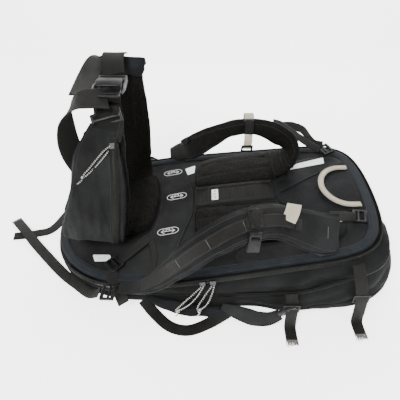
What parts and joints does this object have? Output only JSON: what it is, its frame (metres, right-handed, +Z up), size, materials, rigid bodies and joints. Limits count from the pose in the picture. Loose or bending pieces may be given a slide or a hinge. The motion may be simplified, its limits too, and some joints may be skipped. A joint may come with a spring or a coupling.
{
  "type": "travel_backpack",
  "caption": "Large dark travel backpack lying harness side up: padded shoulder straps, buckled hip belt with a zipped pocket, mesh back pads, compression straps and cord zip pulls.",
  "frame": {"origin": "centre of the flat face that the bag's front rests on", "axes": "+X towards the pack's top, +Y across towards the far side, +Z up through the harness; -Z is the resting face's normal"},
  "size_m": [0.9462, 0.5801, 0.4073],
  "materials": {
    "shell_fabric": "coated pack cloth, near black slate",
    "strap_fabric": "plain-woven slate cloth",
    "mesh_fabric": "open spacer mesh over foam, black with olive specks",
    "webbing": "ribbed black webbing",
    "tan_webbing": "tan ribbed webbing",
    "binding_tape": "faded blue-grey binding tape",
    "plastic": "moulded acetal, low sheen",
    "zip_tape": "coil zip on woven tape, slightly olive",
    "reflective": "white retroreflective film",
    "flecked_cord": "braided cord, black with white flecks",
    "frame_sheet": "extruded polyethylene sheet",
    "stay_aluminium": "mill-finish bar"
  },
  "bodies": {
    "pack": {"back_pad_far": "mesh_fabric", "back_pad_near": "mesh_fabric", "bag_front_compartment": "shell_fabric", "bag_main": "shell_fabric", "compression_strap_low": "webbing", "compression_strap_top": "webbing", "frame_sheet": "frame_sheet", "harness_panel": "shell_fabric", "hip_stabiliser_near": "webbing", "lifter_strap_far": "webbing", "lumbar_pad": "mesh_fabric", "main_zip": "zip_tape", "panel_binding": "binding_tape", "reflector_bottom": "reflective", "reflector_far": "reflective", "reflector_near": "reflective", "reflector_top_far": "reflective", "reflector_top_near": "reflective", "side_webbing_loop": "webbing", "side_wing": "strap_fabric", "size_label": "reflective", "spine_column": "webbing", "stay_far": "stay_aluminium", "stay_near": "stay_aluminium", "strap_tail_far": "webbing", "strap_tail_near": "webbing", "torso_flap": "strap_fabric", "tri_glide_low": "plastic", "tri_glide_top": "plastic"},
    "near_hip_wing": {"near_hip_pad": "mesh_fabric", "hip_pocket": "strap_fabric", "hip_pocket_zip": "zip_tape", "hip_tri_glide": "plastic", "near_hip_webbing": "webbing", "hip_belt_tail": "webbing"},
    "buckle_prongs": {"hip_buckle_male": "plastic"},
    "pocket_slider": {"pocket_zip_slider": "plastic", "pocket_pull_cord": "flecked_cord"},
    "far_hip_wing": {"far_hip_pad": "mesh_fabric", "far_hip_webbing": "webbing", "hip_buckle_female": "plastic"},
    "near_shoulder_strap": {"near_strap_pad": "strap_fabric", "near_strap_webbing": "webbing", "near_sternum_slider": "plastic", "near_sternum_buckle": "plastic", "near_webbing_tab": "tan_webbing"},
    "far_shoulder_strap": {"far_strap_pad": "mesh_fabric", "far_webbing_tab": "tan_webbing", "far_sternum_strap": "tan_webbing", "far_sternum_slider": "plastic"},
    "haul_loop_body": {"haul_loop": "webbing"},
    "zip_slider_a": {"main_zip_slider_a": "plastic", "pull_cord_a": "flecked_cord"},
    "zip_slider_b": {"main_zip_slider_b": "plastic", "pull_cord_b": "flecked_cord"},
    "lifter_lock_far_body": {"lifter_lock_far": "plastic"},
    "lifter_lock_near_body": {"lifter_lock_near": "plastic"},
    "lower_lock_near_body": {"lower_lock_near": "plastic"},
    "lower_lock_far_body": {"lower_lock_far": "plastic"},
    "stabiliser_lock_body": {"hip_stabiliser_lock": "plastic"}
  },
  "joints": [
    {"name": "near_hip_wing_hinge", "type": "hinge", "parent": "pack", "child": "near_hip_wing", "pos_m": [-0.29, -0.1, 0.0785], "axis": [1, 0, 0], "range_deg": [0, 25]},
    {"name": "far_hip_wing_hinge", "type": "hinge", "parent": "pack", "child": "far_hip_wing", "pos_m": [-0.285, 0.16, 0.08325], "axis": [-1, 0, 0], "range_deg": [0, 50]},
    {"name": "hip_buckle_release", "type": "slide", "parent": "near_hip_wing", "child": "buckle_prongs", "axis": [0, -1, 0], "range_m": [0, 0.022]},
    {"name": "pocket_zip_slide", "type": "slide", "parent": "near_hip_wing", "child": "pocket_slider", "axis": [0.107, -0.8214, -0.5603], "range_m": [0, 0.035]},
    {"name": "near_strap_swing", "type": "hinge", "parent": "pack", "child": "near_shoulder_strap", "pos_m": [0.25, -0.17, 0.16], "axis": [-0.9828, -0.089, -0.162], "range_deg": [-35, 20]},
    {"name": "far_strap_swing", "type": "hinge", "parent": "pack", "child": "far_shoulder_strap", "pos_m": [0.166, 0.118, 0.146], "axis": [-0.9404, 0.2861, -0.1841], "range_deg": [-5, 25]},
    {"name": "haul_loop_lift", "type": "hinge", "parent": "pack", "child": "haul_loop_body", "pos_m": [0.304, 0, 0.1591], "axis": [0, 1, 0], "range_deg": [0, 140]},
    {"name": "main_zip_slide_a", "type": "slide", "parent": "pack", "child": "zip_slider_a", "axis": [0.9868, 0.0651, 0.148], "range_m": [-0.08, 0]},
    {"name": "main_zip_slide_b", "type": "slide", "parent": "pack", "child": "zip_slider_b", "axis": [0.9868, 0.0651, 0.148], "range_m": [0, 0.06]},
    {"name": "lifter_lock_far_tilt", "type": "hinge", "parent": "pack", "child": "lifter_lock_far_body", "pos_m": [0.27, 0.155, 0.1605], "axis": [-0.4108, 0.9117, 0], "range_deg": [-15, 0]},
    {"name": "lifter_lock_near_tilt", "type": "hinge", "parent": "pack", "child": "lifter_lock_near_body", "pos_m": [0.29, -0.086, 0.162], "axis": [0.2402, 0.9707, 0], "range_deg": [-15, 0]},
    {"name": "lower_lock_near_tilt", "type": "hinge", "parent": "pack", "child": "lower_lock_near_body", "pos_m": [-0.254, -0.224, 0.078], "axis": [-0.1, -0.995, 0], "range_deg": [-15, 10]},
    {"name": "lower_lock_far_tilt", "type": "hinge", "parent": "pack", "child": "lower_lock_far_body", "pos_m": [-0.2, 0.236, 0.06], "axis": [-0.5291, -0.8486, 0], "range_deg": [-10, 10]},
    {"name": "stabiliser_lock_tilt", "type": "hinge", "parent": "pack", "child": "stabiliser_lock_body", "pos_m": [-0.252, -0.155, 0.0805], "axis": [0.6868, -0.7268, 0], "range_deg": [-10, 0]}
  ]
}
